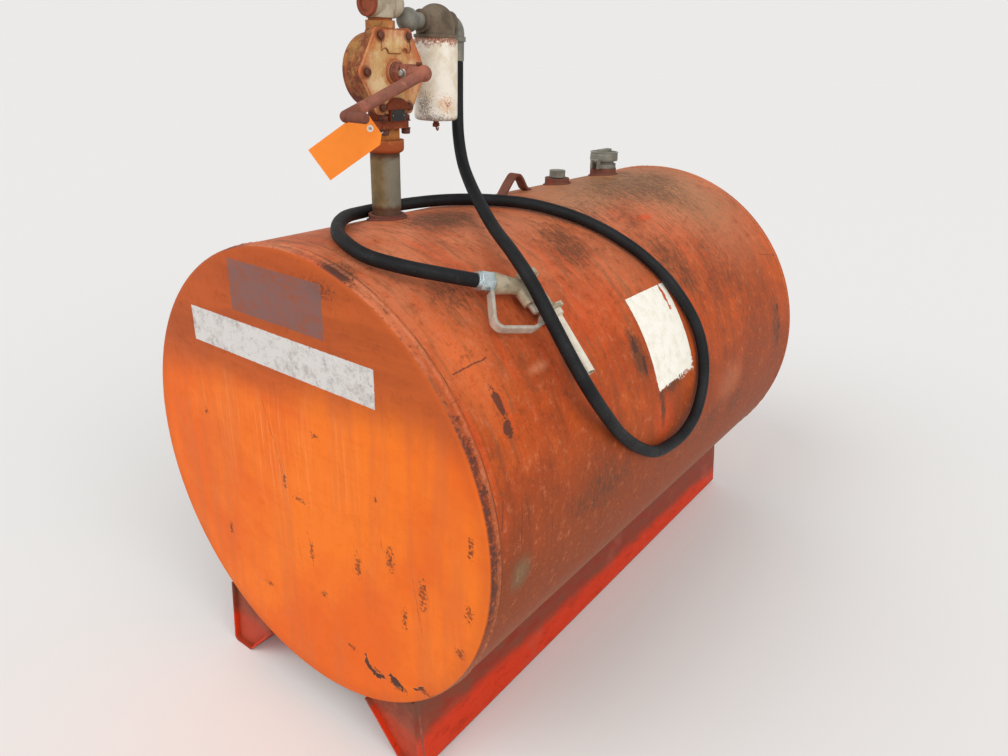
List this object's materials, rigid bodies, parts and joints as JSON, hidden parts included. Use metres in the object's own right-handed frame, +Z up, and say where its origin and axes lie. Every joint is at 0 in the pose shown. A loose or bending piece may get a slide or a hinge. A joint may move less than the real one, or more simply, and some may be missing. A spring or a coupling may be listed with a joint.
{
  "type": "skid-mounted horizontal fuel storage tank with hand pump",
  "caption": "Horizontal round steel fuel tank on bent-plate skids, with a hand crank pump on a riser, a spin-on filter, a hose and a nozzle.",
  "frame": {"origin": "centre of the base on the ground, at the bottom centre of the part's box without the hose and nozzle", "axes": "+Z up; Y along the tank with the pump end towards -Y; +X towards the hose side"},
  "size_m": [0.9985, 1.505, 1.4876],
  "materials": {
    "tank_paint": "worn orange paint with rust and dust",
    "head_paint": "orange paint, streaked, faded above",
    "skid_paint": "red orange paint with brown dust",
    "pump_paint": "worn yellow paint with rust",
    "rusty_iron": "rusted cast iron",
    "galvanised": "dull galvanised pipe",
    "pale_paint": "off-white paint with rust spots",
    "dark_casting": "dark weathered casting",
    "hose_rubber": "matte blue-black hose",
    "bright_plate": "bright plated coupling",
    "cast_alloy": "dull cast alloy",
    "tag_card": "blank orange card",
    "wire_coat": "white coated wire"
  },
  "bodies": {
    "root": {"tank_shell": "tank_paint", "front_head": "head_paint", "rear_head": "head_paint", "left_skid": "skid_paint", "right_skid": "skid_paint", "left_skid_front_plate": "skid_paint", "right_skid_front_plate": "skid_paint", "left_skid_rear_plate": "skid_paint", "right_skid_rear_plate": "skid_paint", "pump_bung": "rusty_iron", "riser_pipe": "galvanised", "suction_pipe": "galvanised", "pump_inlet_hub": "rusty_iron", "pump_foot": "rusty_iron", "pump_body": "pump_paint", "pump_cover": "pump_paint", "pump_gland": "rusty_iron", "pump_outlet_neck": "pump_paint", "outlet_casting": "pale_paint", "casting_port_ring": "rusty_iron", "outlet_elbow": "galvanised", "filter_head": "dark_casting", "filter_canister": "pale_paint", "drain_cock": "rusty_iron", "hose_elbow": "galvanised", "hose_ferrule": "galvanised", "hose": "hose_rubber", "hose_coupling": "bright_plate", "nozzle_body": "cast_alloy", "nozzle_guard": "cast_alloy", "nozzle_plunger": "cast_alloy", "nozzle_spout": "pale_paint", "lifting_lug": "rusty_iron", "vent_bung": "rusty_iron", "vent_cap": "galvanised", "fill_bung": "rusty_iron", "fill_cap_base": "galvanised", "lot_tag": "tag_card", "tag_wire": "wire_coat"},
    "crank": {"pump_crank": "rusty_iron", "crank_knob": "rusty_iron"},
    "fill_lid": {"fill_cap_lid": "galvanised"}
  },
  "joints": [
    {"name": "crank_turn", "type": "hinge", "parent": "root", "child": "crank", "pos_m": [0.05, -0.427, 1.33013], "axis": [1, 0, 0], "continuous": true},
    {"name": "fill_lid_hinge", "type": "hinge", "parent": "root", "child": "fill_lid", "pos_m": [-0.061, 0.421, 1.08763], "axis": [1, 0, 0], "range_deg": [0, 110]}
  ]
}
